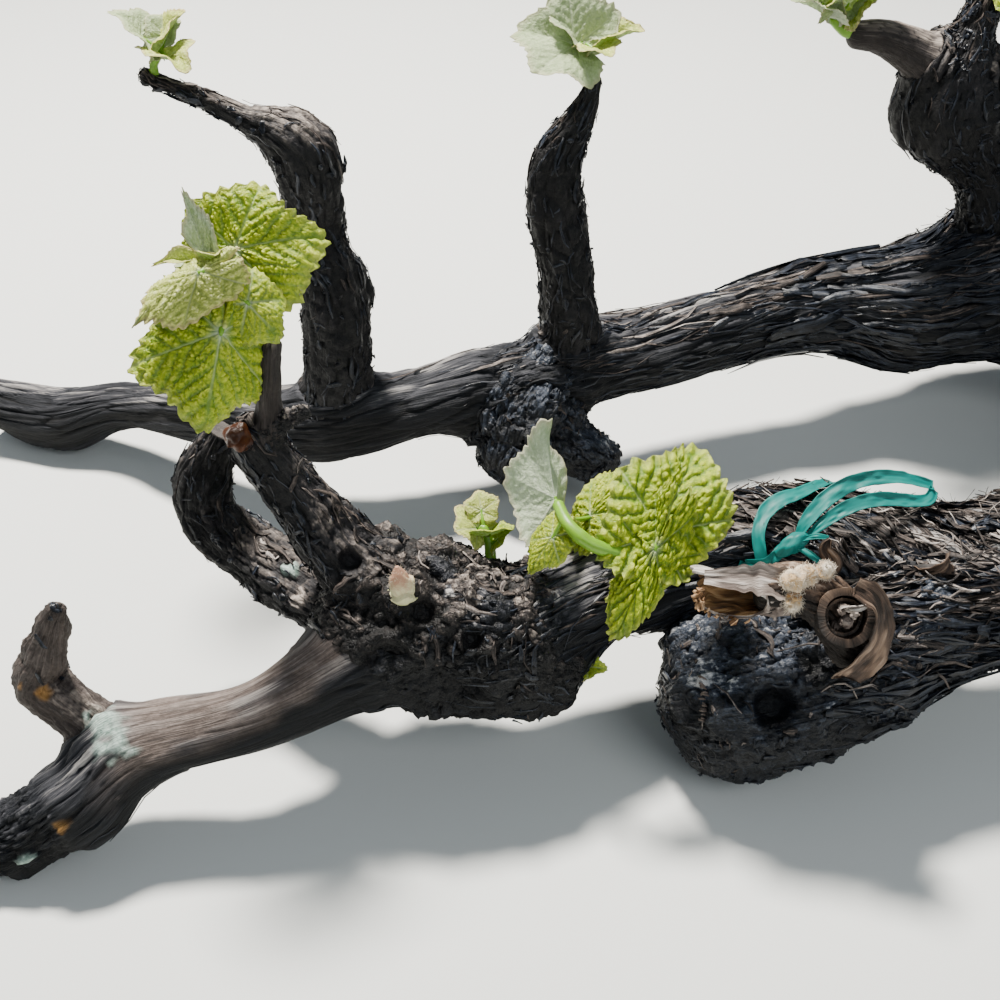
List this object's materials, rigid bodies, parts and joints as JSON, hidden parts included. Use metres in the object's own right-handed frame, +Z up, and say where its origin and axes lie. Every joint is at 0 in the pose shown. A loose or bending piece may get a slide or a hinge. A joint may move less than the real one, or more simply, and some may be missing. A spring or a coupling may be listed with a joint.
{
  "type": "cut grapevine cordon",
  "caption": "Gnarled old grapevine limb cut off behind its fork: cordon arms side by side with upright fruiting spurs, young spring leaves and a tie of garden tape.",
  "frame": {"origin": "centre of the bounding box's base: the level surface that the cut limb lies on", "axes": "+X runs along the arms from their thin ends to the flat cut of the head, +Y from the front arm to the back arm, +Z up, the way the spurs stand"},
  "size_m": [0.5796, 0.291, 0.1991],
  "materials": {
    "bark": "rough shredded old bark, near black with grey fibres",
    "cane": "dry peeling year-old cane, tan brown",
    "leaf": "soft young leaf, yellow green, downy underneath",
    "bud": "woolly bud scales, cream and tan",
    "tape": "thin turquoise stretch tape with a soft sheen"
  },
  "bodies": {
    "root": {"head_stump": "bark", "front_arm": "bark", "back_arm": "bark", "front_tall_spur": "bark", "front_hooked_spur": "bark", "front_stub_spur": "bark", "front_cane_stub": "cane", "back_left_spur": "bark", "back_middle_spur": "bark", "back_head_spur": "bark", "tall_spur_shoot": "leaf", "cane_stub_shoot": "leaf", "front_head_shoot": "leaf", "back_left_shoot": "leaf", "back_middle_shoot": "leaf", "back_left_cane_shoot": "leaf", "back_head_top_shoot": "leaf", "front_head_bud": "bud", "tie_tape": "tape"}
  },
  "joints": []
}
